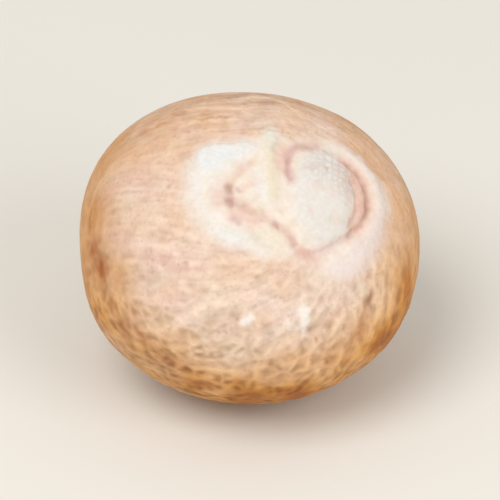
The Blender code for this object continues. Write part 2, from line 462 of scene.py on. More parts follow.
TOP_HOOK = stroke((1.2, 6.9), (0.5, 6.5), (0.1, 5.6), (0.0, 4.6), (0.2, 3.6), (0.5, 2.6))
HOOK_TOP = stroke((3.8, 7.1), (2.8, 7.1), (1.7, 7.0), (0.7, 6.8), (0.0, 6.2))
HOOK_BAR = stroke((1.0, 6.8), (2.4, 6.8))
HOOK_SIDE = stroke((0.2, 7.4), (-0.4, 6.4), (-0.5, 5.0), (-0.2, 3.4))
NOTCH_RAY = stroke((-4.9, 1.4), (-3.9, 2.1), (-3.0, 2.7), (-2.2, 3.1))
MIDDLE_RIDGE = stroke((-1.4, 8.8), (-1.6, 6.0), (-1.6, 3.5), (-1.4, 0.2))
PLUG_SPECK = stroke((3.4, 4.7), (3.6, 4.5))
PLUG_EDGE_SPECK = stroke((3.5, 6.6), (3.8, 6.5))
PLUG_SIDE_SPECK = stroke((1.6, 4.6), (2.3, 4.4))

# Each mark is a route with its half width and its height in millimetres, creases down and ridges up, then
# how strongly it is coloured along its middle: salmon, mauve and dark.
SCAR_MARKS = (
    (RIM_CREASE, 0.42, -0.12, 0.9, 0.0, 0.0),
    (RIM_LINE, 0.26, -0.10, 0.2, 0.1, 0.66),
    (RIM_LINE_LOW, 0.26, -0.02, 0.2, 0.1, 1.0),
    (RIM_LIP, 0.75, 0.16, 0.0, 0.0, 0.0),
    (RIM_BAND, 0.60, 0.00, 0.95, 0.0, 0.0),
    (INNER_BAND, 0.50, 0.00, 0.42, 0.0, 0.0),
    (RIM_END, 0.36, -0.03, 0.0, 0.2, 0.8),
    (INNER_LINE, 0.22, -0.08, 0.3, 0.2, 0.4),
    (LOWER_CREASE, 0.34, -0.14, 0.1, 0.5, 0.15),
    (LOWER_BLOB, 0.50, -0.05, 0.75, 0.5, 0.1),
    (CROSS_SEAM, 0.36, -0.14, 0.5, 0.15, 0.15),
    (SEAM_SPOT, 0.38, -0.08, 0.7, 0.0, 0.65),
    (SEAM_END, 0.34, -0.08, 0.1, 0.6, 0.4),
    (NOTCH, 0.38, -0.26, 0.5, 0.4, 0.45),
    (NOTCH_HIGH, 0.50, -0.05, 0.3, 0.2, 0.86),
    (NOTCH_BESIDE, 0.34, -0.03, 0.4, 0.0, 0.5),
    (NOTCH_LOW, 0.50, -0.06, 0.2, 0.7, 0.85),
    (NOTCH_INNER, 0.44, -0.03, 0.4, 0.5, 0.5),
    (NOTCH_TOP, 0.34, -0.12, 0.45, 0.0, 0.15),
    (NOTCH_PINK, 0.44, 0.00, 0.35, 0.25, 0.0),
    (NOTCH_TAIL, 0.54, -0.12, 0.55, 0.1, 0.26),
    (NOTCH_FOLD, 0.42, -0.08, 0.3, 0.2, 0.0),
    (FOLD_PINK, 0.42, 0.00, 0.65, 0.0, 0.0),
    (FOLD_SPOT, 0.42, -0.04, 0.0, 0.7, 0.3),
    (NOTCH_SIDE, 0.50, 0.00, 0.3, 0.35, 0.0),
    (NOTCH_RAY, 0.34, -0.06, 0.45, 0.0, 0.0),
    (TOP_HOOK, 0.36, -0.18, 0.1, 1.0, 0.35),
    (HOOK_TOP, 0.50, -0.06, 0.45, 0.3, 0.35),
    (HOOK_BAR, 0.46, 0.00, 0.3, 0.3, 0.6),
    (HOOK_SIDE, 0.60, 0.00, 0.75, 0.1, 0.0),
    (PLUG_SPECK, 0.20, -0.03, 0.0, 0.0, 0.55),
    (PLUG_EDGE_SPECK, 0.18, -0.03, 0.0, 0.0, 0.35),
    (PLUG_SIDE_SPECK, 0.24, -0.02, 0.0, 0.0, 0.22),
    (MIDDLE_RIDGE, 0.65, 0.20, 0.0, 0.0, 0.0),
)
SHORT_MARK = 3  # a route of fewer points than this doesn't fade towards its ends
MARK_FADE = 1.2 * MM

# Outlines on the sheet in millimetres: the whole pale scar, the chalky husk left on it, and the dry flecks
# of husk below it.
SCAR_EDGE = stroke(
    (-2.2, 8.2), (-1.3, 8.8), (-0.5, 8.0), (0.4, 7.6), (1.6, 7.7), (3.0, 7.9), (4.4, 8.0), (5.8, 7.4),
    (7.0, 6.4), (8.5, 5.0), (9.5, 3.7), (9.9, 2.2), (9.6, 0.5), (8.9, -1.3), (7.9, -3.2), (6.6, -4.9),
    (4.9, -5.9), (3.5, -5.3), (2.3, -4.8), (0.8, -4.5), (-0.4, -4.3), (-2.1, -4.6), (-4.0, -3.9),
    (-5.9, -3.5), (-7.1, -2.5), (-8.1, -1.0), (-8.9, 0.7), (-8.9, 2.9), (-8.6, 4.5), (-7.7, 6.0),
    (-6.1, 6.7), (-3.9, 7.0), (-2.9, 7.2),
)
LEFT_HUSK = stroke(
    (-9.0, 2.8), (-8.7, 4.4), (-7.7, 6.0), (-6.1, 6.7), (-3.9, 6.9), (-2.6, 6.6), (-2.8, 5.4),
    (-4.2, 4.6), (-5.4, 3.6), (-6.3, 2.6), (-6.9, 1.0), (-6.6, -0.4), (-5.6, -1.2), (-4.4, -1.8),
    (-3.2, -2.5), (-1.8, -3.2), (-2.0, -4.4), (-4.0, -4.0), (-5.9, -3.5), (-7.2, -2.6), (-8.3, -1.0),
    (-9.1, 0.7),
)
LEFT_LOBE = stroke(
    (-8.5, 3.0), (-8.5, 4.3), (-7.7, 5.9), (-6.1, 6.6), (-4.2, 6.7), (-3.1, 6.2), (-3.6, 5.2),
    (-4.9, 4.3), (-6.0, 3.4), (-7.0, 2.6),
)
LOWER_LOBE = stroke((-7.2, -1.2), (-5.8, -1.6), (-4.4, -2.2), (-3.4, -3.0), (-4.2, -3.6), (-6.0, -3.3))
MIDDLE_HUSK = stroke((-3.5, 3.5), (-2.4, 4.2), (-1.9, 2.6), (-1.5, 0.4), (-2.6, 0.4), (-3.4, 1.8))
RIGHT_HUSK = stroke(
    (5.2, 7.4), (7.0, 6.2), (8.5, 4.8), (9.4, 3.4), (9.7, 1.8), (9.3, -0.4), (8.4, -2.6), (7.0, -4.6),
    (5.4, -5.6), (3.8, -5.0), (4.0, -4.0), (5.4, -2.8), (6.8, -1.4), (8.0, 0.4), (8.4, 2.2), (8.0, 4.0),
    (6.9, 5.3), (5.2, 6.4),
)
TIP_HUSK = stroke((-2.1, 8.0), (-1.3, 8.6), (-0.7, 8.0), (-0.9, 6.8), (-1.5, 6.2), (-2.1, 6.9))
LEFT_FLECK = stroke(
    (-2.5, -9.0), (-2.1, -9.2), (-1.9, -9.8), (-2.3, -10.3), (-3.0, -10.5), (-3.5, -10.2), (-3.3, -9.8),
    (-2.9, -9.4),
)
RIGHT_FLECK = stroke(
    (2.2, -8.0), (2.7, -8.0), (3.1, -8.5), (3.3, -9.3), (3.2, -10.1), (2.9, -10.7), (2.5, -10.2),
    (2.2, -9.4), (1.8, -8.7),
)
SMALL_FLECK = stroke((0.9, -9.3), (1.6, -9.4), (2.4, -9.8), (2.5, -10.3), (1.4, -10.5), (0.8, -9.9))

# Each husk patch: its outline, how softly it fades inwards and its height, both in millimetres, then how
# white and how lilac it is.
HUSK_PATCHES = (
    (LEFT_HUSK, 2.2, 0.04, 0.62, 0.0),
    (LEFT_LOBE, 1.4, 0.08, 1.0, 0.0),
    (LOWER_LOBE, 1.3, 0.07, 0.8, 0.0),
    (MIDDLE_HUSK, 0.9, 0.00, 0.5, 0.0),
    (RIGHT_HUSK, 1.7, 0.04, 0.15, 0.8),
    (TIP_HUSK, 0.8, 0.05, 0.5, 0.0),
)

# Each dry fleck: its outline, its height in millimetres and its strength.
FLECKS = (
    (LEFT_FLECK, 0.08, 0.9),
    (RIGHT_FLECK, 0.08, 0.95),
    (SMALL_FLECK, 0.03, 0.35),
)

# Soft ovals on the sheet: the middle, half width and half height in millimetres, and how soft the edge is.
PLUG_FACE = ((3.3, 1.9), 3.0, 4.8, 0.22)
PLUG_MESH_TOP = ((3.6, 4.9), 2.1, 1.6, 0.6)
PLUG_MESH_SIDE = ((5.3, 3.4), 1.0, 1.6, 0.6)
SIDE_MESH_TONE = 0.7  # how strong the mesh is at the side, where it is 1 at the top
SOFT_LEFT_EDGE = ((-9.2, -0.5), 2.6, 4.0, 0.5)
CREAM_PATCH = ((-2.0, -2.8), 2.4, 1.1, 0.5)

# Two loops of vein round dark cells at the foot.
LEFT_LOOP = stroke(
    (-7.0, -14.2), (-7.6, -13.1), (-7.2, -12.3), (-6.2, -12.3), (-5.7, -13.2), (-6.0, -14.5)
)
RIGHT_LOOP = stroke(
    (-4.9, -13.8), (-5.2, -12.9), (-4.8, -12.2), (-3.9, -12.1), (-3.2, -12.8), (-3.4, -13.8)
)

# The paler veins that stand out: route, half width in millimetres and strength.
PALE_VEINS = (
    # on the right, from the scar down
    (stroke((9.2, 5.2), (10.3, 2.6), (10.9, 0.3), (10.8, -1.8)), 0.90, 0.3),
    (stroke((9.3, -1.4), (9.6, -2.7), (9.7, -4.0)), 0.60, 0.5),
    (stroke((8.4, -3.9), (8.6, -5.0), (8.5, -6.4)), 0.50, 0.6),
    (stroke((7.0, -5.5), (7.3, -7.4), (7.0, -9.1)), 0.42, 0.6),
    (stroke((9.1, -5.0), (10.2, -6.7), (10.3, -8.9), (10.6, -11.1), (10.7, -12.8)), 0.46, 0.9),
    (stroke((10.9, -2.7), (11.4, -4.4), (11.5, -6.4), (12.2, -8.1), (12.2, -9.5)), 0.46, 0.9),
    (stroke((13.9, -0.8), (14.0, -2.3), (13.8, -4.5), (13.8, -6.1)), 0.42, 0.7),
    (stroke((5.2, -8.2), (5.9, -9.0), (6.0, -10.3), (5.7, -11.6)), 0.42, 0.75),
    (stroke((7.5, -10.5), (7.5, -11.9), (7.5, -13.4), (8.0, -14.7)), 0.42, 0.8),
    # low in the middle
    (stroke((2.5, -10.7), (1.5, -11.6), (0.2, -12.6), (-0.5, -13.5)), 0.34, 0.8),
    (stroke((-1.0, -12.7), (-0.6, -14.4), (0.9, -18.0)), 0.34, 0.6),
    (stroke((3.0, -10.6), (3.5, -11.4), (4.8, -11.6), (5.4, -12.5)), 0.40, 0.55),
    (stroke((4.5, -12.7), (5.7, -13.4), (6.4, -14.8)), 0.36, 0.7),
    # low on the left
    (stroke((-13.6, -16.4), (-11.6, -16.1), (-10.3, -16.5), (-9.4, -17.3)), 0.26, 0.8),
    (stroke((-7.5, -15.1), (-5.7, -15.0), (-4.0, -14.8), (-2.1, -14.9), (-0.9, -15.1)), 0.30, 0.9),
    (stroke((-12.0, -10.7), (-10.7, -11.2), (-9.4, -12.1), (-8.5, -12.9)), 0.26, 0.7),
    (LEFT_LOOP, 0.24, 0.45),
    (RIGHT_LOOP, 0.24, 0.45),
    (stroke((-7.3, -15.5), (-6.0, -16.0), (-4.8, -15.9), (-3.5, -16.2)), 0.24, 0.7),
    (stroke((-17.9, -8.9), (-16.6, -10.7), (-15.0, -12.6), (-13.7, -14.2)), 0.26, 0.7),
    (stroke((-13.5, -7.1), (-14.1, -8.4), (-13.4, -9.7)), 0.26, 0.6),
    # the sweeps under the scar
    (stroke((-13.6, -11.6), (-9.4, -10.7), (-6.6, -8.9), (-3.8, -8.0), (-1.6, -7.3)), 0.45, 0.5),
    (stroke((-11.7, -8.4), (-9.0, -7.5), (-6.1, -7.2), (-2.5, -6.4)), 0.50, 0.35),
    # the arcs over it
    (stroke((-3.9, 13.0), (-1.9, 13.4), (-0.1, 13.1), (1.2, 11.6), (2.1, 10.0)), 0.30, 0.7),
    (stroke((-12.9, 8.3), (-11.8, 8.6), (-10.5, 9.3)), 0.26, 0.4),
    (stroke((-10.1, 8.3), (-8.0, 8.9), (-5.8, 9.1), (-3.5, 9.5)), 0.28, 0.5),
    (stroke((-9.5, 10.6), (-7.4, 11.0), (-4.8, 11.0), (-2.5, 11.2)), 0.28, 0.5),
)

# Smudges lie along the veins: X and Y on the sheet, half length and half width, all in millimetres, and
# strength. They are brown stains, the olive and the pink that tint the rind, and a pale bloom on it. One
# olive smudge, beside the right fleck, is painted shadow.
BROWN_SMUDGES = (
    (-17.3, -3.0, 1.0, 1.0, 0.9), (-16.4, -4.7, 1.1, 1.2, 1.0), (-16.3, -6.3, 0.8, 0.8, 0.5),
    (-17.6, 0.4, 1.4, 0.5, 0.5), (-14.1, -10.7, 0.8, 0.6, 0.7), (-12.3, -11.6, 0.9, 0.6, 0.7),
    (-9.1, -14.5, 1.2, 0.9, 0.6), (-10.6, -13.6, 0.8, 0.5, 0.15), (-5.6, -17.2, 1.1, 0.7, 0.8),
    (-1.9, -16.1, 0.9, 0.5, 0.3), (-6.0, -15.6, 0.7, 0.4, 0.5), (0.2, -18.0, 1.1, 0.7, 0.45),
    (-15.4, -8.6, 0.7, 0.4, 0.5), (5.9, -12.5, 0.4, 0.25, 0.9), (4.5, -10.7, 0.3, 0.22, 0.8),
    (8.8, -6.9, 1.9, 0.4, 0.45), (8.7, -8.5, 1.4, 0.4, 0.5), (12.6, -7.2, 2.0, 0.5, 0.6),
    (13.5, -3.3, 2.0, 0.6, 0.6), (11.6, -9.8, 1.4, 0.7, 0.7), (-9.9, -2.9, 0.7, 0.15, 0.5),
    (-11.2, 8.8, 1.5, 0.3, 0.5), (-9.5, 10.3, 1.6, 0.25, 0.45), (-6.5, 9.7, 2.2, 0.3, 0.55),
    (-0.7, 12.4, 2.0, 0.3, 0.5), (-2.6, 12.1, 1.8, 0.3, 0.5), (-2.0, 14.5, 2.6, 0.35, 0.6),
    (-4.8, 13.4, 2.2, 0.3, 0.5), (2.2, 13.2, 2.0, 0.3, 0.5),
)
OLIVE_AND_SHADOW_SMUDGES = (
    (-13.9, -5.5, 0.8, 0.6, 0.8), (-13.8, -7.3, 0.7, 0.5, 0.7), (-5.1, -7.3, 1.8, 0.8, 1.0),
    (-11.1, -6.9, 0.8, 0.5, 0.8), (-5.0, -8.9, 1.2, 0.8, 0.7), (-10.0, -10.1, 1.0, 0.6, 0.4),
    (-6.1, -9.7, 1.3, 0.6, 0.8), (-6.0, -11.2, 1.0, 0.5, 0.7), (-4.3, -12.5, 1.1, 0.8, 0.7),
    # The second smudge here, beside the right fleck, is painted shadow of the fleck.
    (8.4, -6.2, 1.4, 0.5, 0.7), (3.9, -9.1, 0.9, 0.6, 0.8), (-13.4, 7.7, 1.1, 0.6, 0.6),
    (-8.4, -12.4, 1.2, 0.6, 0.5),
)
PINK_SMUDGES = (
    (-10.4, -4.8, 2.4, 1.0, 1.0), (-8.4, -7.7, 1.8, 0.7, 0.9), (-7.9, -5.3, 1.4, 0.6, 0.8),
    (-4.8, -7.2, 1.2, 0.6, 0.5), (-12.8, 2.7, 2.2, 0.7, 0.6), (-4.2, -10.6, 1.5, 0.6, 0.5),
    (-10.2, -8.2, 1.6, 0.8, 0.5), (-13.8, -2.6, 1.6, 0.8, 0.4), (5.6, -8.8, 1.5, 0.5, 0.4),
)
HAZE_SMUDGES = (
    (-10.6, -8.4, 1.8, 1.0, 0.8), (-0.6, -8.6, 1.2, 1.2, 0.9), (1.5, -8.6, 0.9, 0.9, 0.6),
    (-0.2, -10.4, 0.9, 0.7, 0.9), (-1.7, -14.4, 0.9, 0.7, 0.8), (7.4, -9.6, 1.2, 0.6, 1.0),
    (4.4, 9.3, 1.2, 0.6, 0.9), (-9.9, -9.1, 1.2, 0.5, 0.6), (3.5, -12.2, 0.7, 0.5, 0.3),
    (4.1, -14.6, 0.7, 0.5, 0.6), (-3.9, -11.2, 1.4, 0.6, 0.7), (6.0, -5.8, 1.4, 0.8, 0.6),
    (3.4, -13.4, 0.8, 0.7, 0.5), (2.6, -11.5, 0.8, 0.5, 0.6), (-10.2, -13.4, 0.8, 0.5, 0.8),
    (-8.2, -10.2, 1.6, 0.5, 0.6), (6.6, -10.0, 1.0, 0.6, 0.5), (-12.8, -3.2, 1.6, 0.7, 0.5),
)

# Grey-green dimples in the scar, given in the same way.
DIMPLES = (
    (-1.4, 6.2, 0.35, 0.45, 0.8), (-2.4, -0.1, 0.35, 0.3, 0.6), (-2.9, -2.6, 0.6, 0.3, 0.4),
    (3.9, -0.2, 0.5, 0.5, 0.3), (5.2, 0.0, 0.4, 0.3, 0.25),
)


def mark_shape(sheet, route, half_width):
    """1 along a route, fading to 0 beside it and, if it is a long one, towards its ends."""
    lengths = np.linalg.norm(np.diff(route, axis=0), axis=1)
    nearest = np.full(len(sheet), np.inf)
    passed = np.zeros(len(sheet))
    for start, end, before in zip(route[:-1], route[1:], np.cumsum(lengths) - lengths):
        run = end - start
        along = np.clip((sheet - start) @ run / (run @ run), 0, 1)
        away = np.linalg.norm(sheet - start - along[:, None] * run, axis=1)
        closer = away < nearest
        nearest = np.where(closer, away, nearest)
        passed = np.where(closer, before + along * np.linalg.norm(run), passed)
    shape = np.exp(-((nearest / half_width) ** 2))
    if len(route) < SHORT_MARK:
        return shape
    return shape * smooth_step(np.minimum(passed, lengths.sum() - passed), 0, MARK_FADE)


def blot(sheet, middle, half_width, half_height, softness):
    """1 inside an oval on the sheet, given in millimetres, with a soft edge."""
    offset = (sheet / MM - middle) / (half_width, half_height)
    return smooth_step(1 + softness - np.hypot(offset[:, 0], offset[:, 1]), 0, 2 * softness)


def within(sheet, outline):
    """How far each point lies inside a closed outline, and less than 0 outside it."""
    nearest = np.full(len(sheet), np.inf)
    inside = np.zeros(len(sheet), bool)
    for start, end in zip(outline, np.roll(outline, -1, axis=0)):
        run = end - start
        along = np.clip((sheet - start) @ run / (run @ run), 0, 1)
        away = np.linalg.norm(sheet - start - along[:, None] * run, axis=1)
        nearest = np.minimum(nearest, away)
        beside = start[0] + (sheet[:, 1] - start[1]) * run[0] / (run[1] + TINY)
        spans = (start[1] > sheet[:, 1]) != (end[1] > sheet[:, 1])
        inside ^= spans & (sheet[:, 0] < beside)
    return np.where(inside, nearest, -nearest)


def smudges(spots, ways, marks):
    """Soft marks that lie along the veins, the strongest at each point, from 0 to 1."""
    most = np.zeros(len(spots))
    for across, up, half_length, half_width, strength in marks:
        away = spots - from_sheet(across, up) * MEAN_RADIUS
        along = np.sum(away * ways, axis=1)
        aside = np.sum(away**2, axis=1) - along**2
        far = along**2 / (half_length * MM) ** 2 + aside / (half_width * MM) ** 2
        most = np.maximum(most, strength * np.exp(-far))
    return most


def pits(dirs):
    """Small dark pits scattered over the skin, as nearness to one from 0 to 1."""
    draw = np.random.default_rng(PIT_SEED)
    middles = unit(draw.normal(size=(PIT_COUNT, 3)))
    reach = draw.uniform(*PIT_RADII, size=PIT_COUNT) * MM / MEAN_RADIUS
    deepest = np.zeros(len(dirs))
    for middle, size in zip(middles, reach):
        away = np.linalg.norm(dirs - middle, axis=1)
        deepest = np.maximum(deepest, np.exp(-((away / size) ** 2)))
    return deepest


# ---- the veins ------------------------------------------------------------------------------------


def growth(dirs):
    """The way the veins run at each point, along the skin."""
    level = np.maximum(np.hypot(dirs[:, 0], dirs[:, 1]), TINY)[:, None]
    round_scar = np.column_stack((-dirs[:, 1], dirs[:, 0], np.zeros(len(dirs)))) / level
    from_scar = np.cross(round_scar, dirs)
    places = [way[:2] for way in VEIN_WAYS]
    double = [math.radians(2 * way[2]) for way in VEIN_WAYS]
    turn = blend(dirs, places, np.column_stack((np.cos(double), np.sin(double))), WAY_REACH)
    half = np.arctan2(turn[:, 1], turn[:, 0])[:, None] / 2
    return unit(np.cos(half) * from_scar + np.sin(half) * round_scar)


def growth_onwards(dirs, last):
    """The way the veins run, taken in the direction that goes on from the last one."""
    along = growth(dirs)
    return along * np.sign(np.sum(along * last, axis=1, keepdims=True) + TINY)


def weathering_and_shade(dirs):
    """Brown, partly painted shade, and boldness at each point on the skin, and how long its cells are."""
    rows = [(brown, bold, length * MM) for _, _, brown, bold, length in WEATHERING_AND_SHADE]
    return blend(dirs, [row[:2] for row in WEATHERING_AND_SHADE], rows, WEATHERING_AND_SHADE_REACH).T


def cell_widths(lengths):
    """How wide cells of these lengths are."""
    return CELL_WIDTH + CELL_SWELL * (lengths - CELL_WIDTH)


def cell_middles():
    """Seeded points spread over the skin, farther apart along the veins than across them."""
    draw = np.random.default_rng(VEIN_SEED)
    dirs = unit(draw.normal(size=(VEIN_TRIES, 3)))
    along = growth(dirs)
    lengths = weathering_and_shade(dirs)[2]
    widths = cell_widths(lengths)
    spots = dirs * MEAN_RADIUS
    kept = [0]
    for pick in range(1, len(dirs)):
        gaps = spots[kept] - spots[pick]
        run = gaps @ along[pick]
        apart = (np.sum(gaps**2, axis=1) - run**2) / widths[pick] ** 2 + run**2 / lengths[pick] ** 2
        if apart.min() > draw.uniform(*CELL_SPACING):
            kept.append(pick)
    return spots[kept]


def vein_net(spots, ways, lengths):
    """For each point: its nearness to a vein from 0 to 1, and how deep in a dark cell it is, from 0 to 1.

    A cell is the ground nearest to its middle, by a measure that is stretched along the veins, and a vein
    runs where two cells meet.
    """
    middles = cell_middles()
    draw = np.random.default_rng(VEIN_SEED + 1)
    tones = draw.uniform(*CELL_TONES, size=len(middles))
    strengths = draw.uniform(*VEIN_STRENGTHS, size=(len(middles), len(middles)))
    vein = np.zeros(len(spots))
    cell = np.zeros(len(spots))
    spots = nudged(spots, spots, *VEIN_WANDER)
    widths = cell_widths(lengths)[:, None]
    thins = widths**-2 - lengths[:, None] ** -2
    for start in range(0, len(spots), POINTS_AT_ONCE):
        part = slice(start, start + POINTS_AT_ONCE)
        here, run, wide, thin = spots[part], ways[part], widths[part], thins[part]
        square = np.sum(here**2, axis=1)[:, None] + np.sum(middles**2, axis=1) - 2 * here @ middles.T
        forth = run @ middles.T - np.sum(here * run, axis=1)[:, None]
        apart = square / wide**2 - forth**2 * thin
        near = np.argpartition(apart, NEAREST_CELLS, axis=1)[:, :NEAREST_CELLS]
        near = np.take_along_axis(near, np.argsort(np.take_along_axis(apart, near, 1), axis=1), 1)
        apart = np.take_along_axis(apart, near, 1)
        best = np.full(len(here), np.inf)
        for other in range(1, NEAREST_CELLS):
            between = middles[near[:, 0]] - middles[near[:, other]]
            slope = between / wide**2 - run * (np.sum(between * run, axis=1)[:, None] * thin)
            steep = np.linalg.norm(slope, axis=1)
            edge = (apart[:, other] - apart[:, 0]) / (2 * steep)
            cross_link = np.abs(np.sum(slope * run, axis=1)) / steep
            pair = np.sort(near[:, [0, other]], axis=1)
            strength = strengths[pair[:, 0], pair[:, 1]] * (1 - CROSS_WEAKNESS * cross_link**2)
            line = strength * np.exp(-((edge / (VEIN_SHARE * wide[:, 0])) ** 2))
            vein[part] = np.maximum(vein[part], line)
            best = np.minimum(best, edge)
        cell[part] = tones[near[:, 0]] * smooth_step(best / wide[:, 0], 0, CELL_DEEP)
    return vein, cell


def fibres(dirs, size, step, steps, seed):
    """Noise smeared along the veins into streaks that follow them, evened to a spread of 1."""
    total = grain_at(dirs * MEAN_RADIUS, size * MM, seed)
    for way in (-1, 1):
        here, along = dirs, way * growth(dirs)
        for _ in range(steps):
            along = growth_onwards(here, along)
            here = unit(here + along * (step * MM / MEAN_RADIUS))
            total = total + grain_at(here * MEAN_RADIUS, size * MM, seed)
    return (total - total.mean()) / total.std()


def strands(spots):
    """Longer pale strands on the sides that don't show, as nearness to one from 0 to 1."""
    draw = np.random.default_rng(STRAND_SEED)
    here = unit(draw.normal(size=(STRAND_TRIES, 3)))
    here = here[here @ from_sheet(*SEEN_MIDDLE) < SEEN_LIMIT]
    steps = draw.integers(*STRAND_STEPS, size=len(here))
    widths = draw.uniform(*STRAND_HALF_WIDTHS, size=len(here)) * MM
    tones = draw.uniform(*STRAND_TONES, size=len(here))
    bends = draw.normal(0, STRAND_BEND, size=(len(here), 1))
    tree = kdtree.KDTree(int(steps.sum()))
    beads = []
    last = growth(here)
    for step in range(steps.max()):
        for pick in np.flatnonzero(step < steps):
            tree.insert(here[pick] * MEAN_RADIUS, len(beads))
            fade = math.sqrt(math.sin(math.pi * (step + 0.5) / steps[pick]))
            beads.append((widths[pick], tones[pick] * fade))
        last = growth_onwards(here, last)
        along = np.cos(bends) * last + np.sin(bends) * np.cross(here, last)
        here = unit(here + along * (STRAND_STEP / MEAN_RADIUS))
    tree.balance()
    found = [tree.find(spot)[1:] for spot in spots]
    widths, tones = np.array(beads)[[bead for bead, _ in found]].T
    away = np.array([distance for _, distance in found])
    return tones * np.exp(-((away / widths) ** 2))


def pale_veins(fine, spots):
    """The paler veins and the strands, as nearness to one from 0 to 1, broken up by grain."""
    near = np.zeros(len(spots))
    for route, half_width, strength in PALE_VEINS:
        near = np.maximum(near, strength * mark_shape(fine, route, half_width * MM))
    near = np.maximum(near, strands(nudged(spots, spots, *STRAND_WANDER)))
    return near * uneven(spots, *PALE_VEIN_BREAKS)


def mottling(dirs, spots, lengths, bold):
    """The rind's mottle, light above 0: streaks where its cells are long, and dapples elsewhere."""
    streaky = smooth_step(lengths, CELL_WIDTH, LONGEST_CELL)
    smears = THIN_SHARE * fibres(dirs, *THIN_SMEARS) + BROAD_SHARE * fibres(dirs, *BROAD_SMEARS)
    dapples = uneven(spots, *DAPPLES)
    mottle = uneven(spots, streaky * smears + (1 - streaky) * dapples, *MOTTLE_GRAINS)
    streaks = (STREAKS_LEAST + STREAKS_GAIN * streaky) * fibres(dirs, *FINE_STREAKS)
    return (MOTTLE_LEAST + (1 - MOTTLE_LEAST) * bold) * mottle + streaks


# ---- the scar -------------------------------------------------------------------------------------


def scar_marks(sheet, spots):
    """The scar's height over the body, and how salmon, mauve, dark, white and lilac it is, from 0 to 1."""
    fine = nudged(sheet, spots, *SCAR_WANDER)
    offset = (sheet - PLUG_MIDDLE) / (PLUG_HALF_WIDTH, PLUG_HALF_HEIGHT)
    height = PLUG_RISE * smooth_step(PLUG_FOOT - np.hypot(offset[:, 0], offset[:, 1]), 0, PLUG_SLOPE)
    salmon, mauve, crack, husk, lilac = (np.zeros(len(spots)) for _ in range(5))
    for route, half_width, rise, salmon_share, mauve_share, crack_share in SCAR_MARKS:
        shape = mark_shape(fine, route, half_width * MM)
        height = height + rise * MM * shape
        salmon = np.maximum(salmon, salmon_share * shape**TINT_SPREAD)
        mauve = np.maximum(mauve, mauve_share * shape**TINT_SPREAD)
        crack = np.maximum(crack, crack_share * shape**DARK_SPREAD)
    torn = uneven(spots, *TORN_EDGE)
    for outline, softness, rise, white, pale_lilac in HUSK_PATCHES:
        depth = within(fine, outline) + torn * min(softness, HUSK_TORN) * MM
        height = height + rise * MM * smooth_step(depth, *HUSK_STEP)
        inside = smooth_step(depth, *(share * softness * MM for share in HUSK_WHITE))
        husk = np.maximum(husk, white * inside)
        lilac = np.maximum(lilac, pale_lilac * inside)
    blush = uneven(spots, *BLUSH)
    return height, salmon * blush, mauve * blush, crack * blush, husk, lilac


def dry_flecks(sheet, spots):
    """The height of the dry flecks below the scar, and how white they are, from 0 to 1."""
    ragged = nudged(sheet, spots, *FLECK_WANDER)
    torn = uneven(spots, *TORN_FLECK)
    height, fleck = np.zeros(len(spots)), np.zeros(len(spots))
    for outline, rise, strength in FLECKS:
        depth = within(ragged, outline) + torn
        height = height + rise * MM * smooth_step(depth, *FLECK_STEP)
        fleck = np.maximum(fleck, strength * smooth_step(depth, *FLECK_WHITE))
    return height, fleck


def scar_cover(sheet, spots):
    """How fully the scar covers the rind, from 0 to 1, its edge softer on the left and the low right."""
    depth = within(nudged(sheet, spots, *COVER_WANDER), SCAR_EDGE)
    left = blot(sheet, *SOFT_LEFT_EDGE)
    right = smooth_step(sheet[:, 0] - sheet[:, 1], *SOFT_RIGHT_EDGE)
    softness = (SCAR_SOFTNESS + left + right) * MM
    return smooth_step(depth / softness, *SCAR_FADE)


def cream_and_rose(fine, spots, plug):
    """How creamy and how rosy the scar's face is, from 0 to 1."""
    cream = CREAM_CLOUD_TONE * smooth_step(grain_at(spots, *CREAM_CLOUDS), *CREAM_RANGE)
    cream = np.maximum(cream, CREAM_PATCH_TONE * blot(fine, *CREAM_PATCH))
    on_ridge = mark_shape(fine, MIDDLE_RIDGE, CREAM_RIDGE_WIDTH)
    cream = np.maximum(cream * (1 - PLUG_HIDES * plug), on_ridge)
    return cream, smooth_step(grain_at(spots, *ROSE_CLOUDS), *ROSE_RANGE)


# ---- the skin -------------------------------------------------------------------------------------


